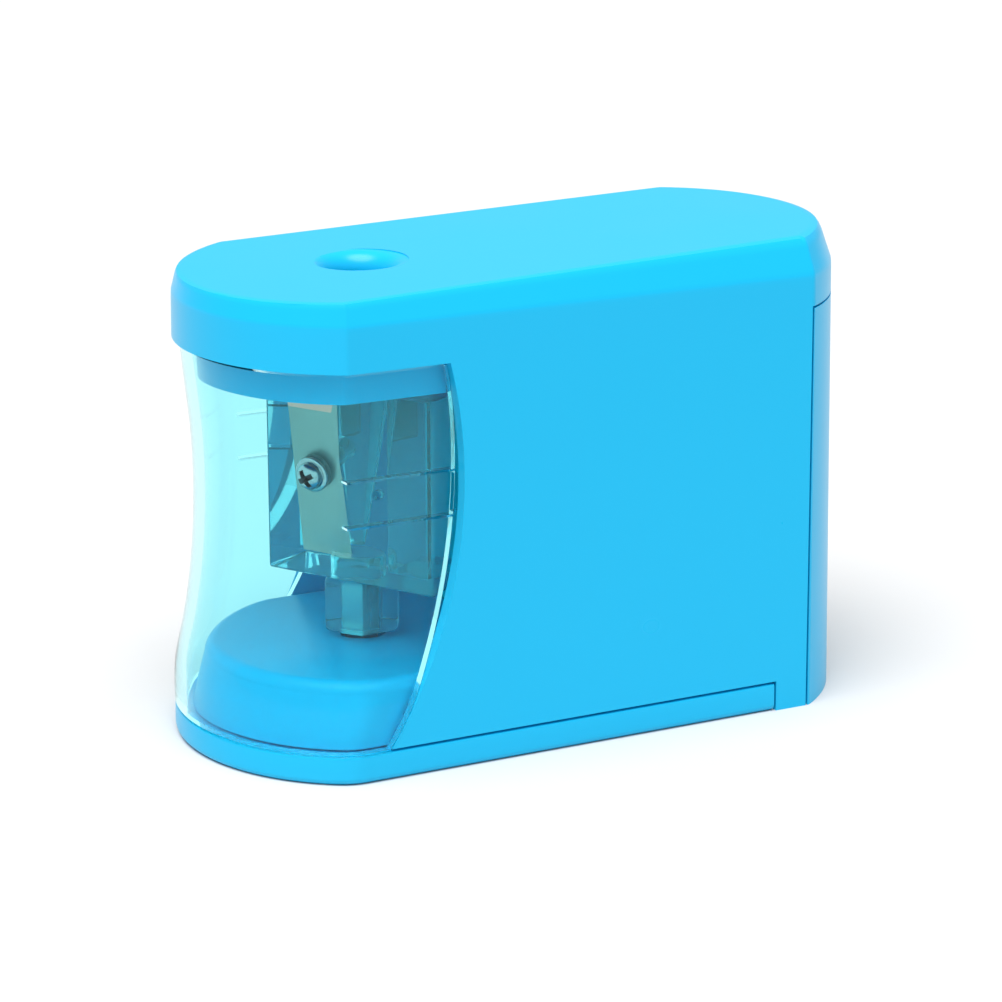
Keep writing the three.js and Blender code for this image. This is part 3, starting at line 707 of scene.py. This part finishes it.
def cone_radius(z):
    return CONE_TIP_RADIUS + CONE_SLOPE * (z - CONE_TIP_Z)


def on_blade_plane(obj):
    """From flat at the origin, facing -Y, onto the plane that touches the pencil cone."""
    lift = shift(0, -cone_radius(BLADE_Z), BLADE_Z)
    return place_cutter(transform(obj, lift @ Matrix.Rotation(CONE_ANGLE, 4, "X")))


def at_screw(obj):
    """From upright at the origin to square to the blade, with its top away from the pencil."""
    return on_blade_plane(transform(obj, shift(SCREW_X, 0, SCREW_S) @ LYING))


carrier = box(-11.3, 14.2, -5, 5.5, 20.5, 47.4)
soften(carrier, 0.45, 3)
seat_outline = [
    (-cone_radius(SEAT_Z) - SEAT, SEAT_Z), (-9, SEAT_Z), (-9, 49), (-cone_radius(49) - SEAT, 49),
]
seat = ring_solid("seat", [[(x, y, z) for y, z in seat_outline] for x in (-9.3, 2.2)])
bore_side = [(CONE_TIP_RADIUS, CONE_TIP_Z), (PENCIL_RADIUS, CONE_TOP_Z), (PENCIL_RADIUS, 49)]
bore = lathe("bore", bore_side, 0, 0, 72)
pockets = [box(6.4, 12.4, -3.4, 7, 22.3, 45.6), box(-9.8, -6.6, 1.2, 7, 22.3, 45.6)]
cut(carrier, bore, seat, *pockets)
cut(carrier, rounded_rod(HUB_NECK + 0.4, 0.6, 18, HUB_NECK_Z1 + GAP))
cut(carrier, transform(transform(post(0, 0, 0.65, -1, 1.6, 24), LYING), shift(5.57, -5, 32.8)))
place_cutter(carrier)
cut(carrier, at_screw(post(0, 0, 1.5, -6.5, 1, 40)))
soften(carrier, 0.12, 2)
finish(carrier, "cutter_block", M_CUTTER, "cutter", "clear_cutter_plastic", "cutter_carrier")

blade_outline = [(-7.65, -BLADE_FOOT), (-7.65, -BLADE_FACE), (-1, -BLADE_FACE), (-0.2, -BLADE_FOOT)]
blade = on_blade_plane(prism(blade_outline, -12.8, 11.6))
cut(blade, at_screw(post(0, 0, 1.5, -1, 3, 40)))
soften(blade, 0.06, 2)
finish(blade, "blade", M_BLADE, "cutter", "blade_steel", "sharpener_blade")

# ------------------------------------------------------------------ blade screw and its washer
WASHER_FOOT = BLADE_FACE + GAP
HEAD_FOOT = WASHER_FOOT + 0.85
HEAD_TOP = WASHER_FOOT + 1.4
DOME_FOOT = HEAD_TOP + 0.4
DOME_RADIUS = 1.8
DOME_RISE = 1.15
SLOT_FOOT = HEAD_TOP + 0.1
SLOT_RISE = 1.9
SLOT_TURN = math.radians(28)

screw_side = [(0.5, -5.5), (1.1, -4.9), (1.1, HEAD_FOOT), (2.26, HEAD_FOOT), (2.4, HEAD_FOOT + 0.1)]
screw_side += [(2.4, HEAD_TOP - 0.2), (2.34, HEAD_TOP - 0.06), (2.2, HEAD_TOP)]
screw_side += [(1.86, HEAD_TOP - 0.02), (DOME_RADIUS, HEAD_TOP + 0.08)]
for turn in range(0, 76, 15):
    a = math.radians(turn)
    screw_side.append((DOME_RADIUS * math.cos(a), DOME_FOOT + DOME_RISE * math.sin(a)))
screw = lathe("screw", screw_side, 0, 0, 72)
for turn in (0, math.pi / 2):
    slot = ring_solid("slot", [
        [(-x, -y, z), (x, -y, z), (x, y, z), (-x, y, z)]
        for x, y, z in ((0.8, 0.24, 0), (1.5, 0.42, SLOT_RISE))
    ])
    cut(screw, transform(slot, shift(0, 0, SLOT_FOOT) @ Matrix.Rotation(turn + SLOT_TURN, 4, "Z")))
soften(screw, 0.05, 2)


def in_recess(point):
    """Whether a point of the upright screw lies well under the surface of its dome."""
    x, y, z = point / MM
    across = math.hypot(x, y) / DOME_RADIUS
    up = (z - DOME_FOOT) / DOME_RISE
    return z > HEAD_TOP + 0.05 and across**2 + up**2 < 0.9


# faces deep in the cross recess get the near-black steel: painted shade in the recess
recess_shade_faces = [polygon.index for polygon in screw.data.polygons if in_recess(polygon.center)]
at_screw(screw)
finish(screw, "blade_fixing_screw", M_PLATED, "cutter", "plated_screw", "blade_screw")
screw.data.materials.append(M_DARK_STEEL_AND_SHADE)
for index in recess_shade_faces:
    screw.data.polygons[index].material_index = 1

# the washer is dark steel, and its near-black also paints the shade under the screw head's rim
washer_side = [
    (2.3, WASHER_FOOT), (2.38, WASHER_FOOT + 0.08), (2.38, HEAD_FOOT - 0.16), (2.3, HEAD_FOOT - 0.08),
]
washer = lathe("washer", washer_side, 0, 0, 72)
cut(washer, post(0, 0, 1.25, WASHER_FOOT - 1, HEAD_FOOT + 1))
at_screw(washer)
soften(washer, 0.04, 2)
finish(washer, "screw_washer", M_DARK_STEEL_AND_SHADE, "cutter", "plated_screw")

# ------------------------------------------------------------------ hub under the cutter


def hexagon(corner):
    turns = [CUTTER_TURN + math.radians(60 * i) for i in range(6)]
    return [(corner * math.cos(a), CUTTER_Y + corner * math.sin(a)) for a in turns]


hub = prism(hexagon(HUB_CORNER), HUB_Z0, HUB_Z1)
soften(hub, 0.55, 4)
neck = rounded_rod(HUB_NECK, 0.6, 19, HUB_NECK_Z1, CUTTER_Y)
cut(neck, place_cutter(box(-9.6, 2.5, -9, -0.2, SEAT_Z - GAP, 30)))
join(hub, neck)
cut(hub, prism(hexagon(SPINDLE_CORNER + 0.4), HUB_Z0 - 1, 19.2))
soften(hub, 0.1, 2)
finish(hub, "hexagon_hub", M_CUTTER, "cutter", "clear_cutter_plastic", "drive_hub")

# ------------------------------------------------------------------ inner chassis
CHASSIS_INSET = WALL + GAP
CHEEK_Z0 = CASE_TOP_Z + GAP
TUB_Z0 = 0.3
TUB_Z1 = 57.8
CHASSIS_WALLS = [
    (10.6, 11.8, -4.4, 12, CHEEK_Z0, 36),
    (-11.8, -10.6, -4.4, 12, CHEEK_Z0, 36),
    (-12, 12, -4.4, 20.6, 44, 45.4),
    (-16.5, 16.5, 20.4, 21.8, TUB_Z0, TUB_Z1),
    (15.3, 16.5, 21.6, 33, TUB_Z0, TUB_Z1),
    (-16.5, -15.3, 21.6, 33, TUB_Z0, TUB_Z1),
    (-16.5, 16.5, 21.6, 33, TUB_Z0, 1.6),
    (-16.5, 16.5, 21.6, 33, 56.4, TUB_Z1),
]

partition = [body_level(0, CHASSIS_INSET), body_level(57.5, CHASSIS_INSET), level(59.6, -5)]
chassis = ring_solid("chassis", partition)
keep(chassis, slab(-5.6, -4.2, CHEEK_Z0, 59.6))
for wall in CHASSIS_WALLS:
    join(chassis, box(*wall))
cut(chassis, box(-9, -6.2, 20, 22, 1.6, 6.6), box(6.2, 9, 20, 22, 1.6, 6.6))
soften(chassis, 0.22, 2)
# the frame's lighter cyan is painted light
finish(chassis, "motor_and_battery_frame", M_INNER_LIT, "housing", "cyan_inner_plastic", "inner_chassis")

# ------------------------------------------------------------------ cells and their springs
CELL_X = 7.6
CELL_Y = 29.6
CELL_RADIUS = 7.1
CELL_Z0 = 4.8
CELL_Z1 = 54.0
NUB_RADIUS = 2.7
NUB_RISE = 1.3
SPRING_TURNS = 3
SPRING_STEPS = 36


def turned_over(profile):
    """The same turned profile with the cell's two ends changed round."""
    return [(r, CELL_Z0 + CELL_Z1 - z) for r, z in reversed(profile)]


def battery(name, x, nub_up, node):
    """A jacket that is open over both bare metal ends of the cell inside it."""
    side = [(CELL_RADIUS - 0.45, CELL_Z0), (CELL_RADIUS - 0.13, CELL_Z0 + 0.13)]
    side.append((CELL_RADIUS, CELL_Z0 + 0.45))
    jacket = lathe("jacket", side + turned_over(side), x, CELL_Y, 96)
    cut(jacket, post(x, CELL_Y, 6.2, CELL_Z0 - 1, CELL_Z1 + 1, 96))
    soften(jacket, 0)
    finish(jacket, name + "_jacket", M_JACKET, "housing", "cell_jacket", node)
    nub_z = CELL_Z1 + NUB_RISE
    can = [(5.9, CELL_Z0 + 0.1), (6.1, CELL_Z0 + 0.3), (6.1, CELL_Z1 - 0.7), (5.2, CELL_Z1 - 0.3)]
    can += [(NUB_RADIUS, CELL_Z1 - 0.2), (NUB_RADIUS, nub_z - 0.4)]
    can += [(NUB_RADIUS - 0.12, nub_z - 0.12), (NUB_RADIUS - 0.4, nub_z)]
    core = lathe("can", can if nub_up else turned_over(can), x, CELL_Y, 96)
    soften(core, 0)
    finish(core, name + "_can", M_CAN, "housing", "nickel_contact")


def cell_spring(name, x, z0, z1, radius, node):
    """Conical spring that narrows from z0 to z1."""
    points = []
    for i in range(SPRING_STEPS + 1):
        share = i / SPRING_STEPS
        a = 2 * math.pi * SPRING_TURNS * share
        r = 3.1 - 1.5 * share
        points.append((x + r * math.cos(a), CELL_Y + r * math.sin(a), z0 + (z1 - z0) * share))
    spring = tube("spring", points, radius, 3, 14)
    soften(spring, 0)
    finish(spring, name, M_NICKEL, "housing", "nickel_contact", node)


battery("left_cell", -CELL_X, True, "battery_cell_1")
battery("right_cell", CELL_X, False, "battery_cell_2")
cell_spring("conical_spring_1", -CELL_X, 2.85, 4.25, 0.22, "negative_spring")
cell_spring("conical_spring_2", CELL_X, 55.1, 54.5, 0.2, "link_spring")

# ------------------------------------------------------------------ switch leaf
LEAF_TIP_X = -1.8
LEAF_ROOT_X = 12.2
LEAF_Z = 2.8
LEAF_TOP_Z = 3.1
LEAF_HALF_WIDTH = 1.5
LEAF_STEPS = 28

section = [(-LEAF_HALF_WIDTH, LEAF_Z), (LEAF_HALF_WIDTH, LEAF_Z)]
section += [(LEAF_HALF_WIDTH, LEAF_TOP_Z), (-LEAF_HALF_WIDTH, LEAF_TOP_Z)]
leaf_length = LEAF_ROOT_X - LEAF_TIP_X
leaf_xs = [LEAF_TIP_X + leaf_length * i / LEAF_STEPS for i in range(LEAF_STEPS + 1)]
leaf = ring_solid("switch_spring", [[(x, CUTTER_Y + y, z) for y, z in section] for x in leaf_xs])
leaf.data.materials.append(M_COPPER)
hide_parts("switch_leaf")
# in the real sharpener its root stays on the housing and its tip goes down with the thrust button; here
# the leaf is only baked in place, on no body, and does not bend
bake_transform(leaf)

# ------------------------------------------------------------------ CAD pieces that stay
STAYING = {
    M_ZINC: [f"base_screw_{i}" for i in (1, 2, 3, 4)] + ["gear_cover_screw_1", "gear_cover_screw_2"],
    M_SHAFT: ["drive_spindle", "idler_axle", "motor_shaft"],
    M_ACETAL: ["output_gear", "idler_gear", "thrust_button"],
    M_BRASS: ["motor_pinion", "motor_terminal_1", "motor_terminal_2"],
    M_CAN: ["motor_can"],
    M_BLACK: ["motor_end_cap"],
    M_COPPER: ["switch_contact"],
    M_NICKEL: ["link_plate", "negative_contact", "positive_contact"],
    M_RED: ["lead_red"],
    M_DARK: ["lead_switch"],
    M_YELLOW: ["lead_motor"],
}
for material, names in STAYING.items():
    for name in names:
        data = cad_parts[name].data
        data.materials.clear()
        data.materials.append(material)
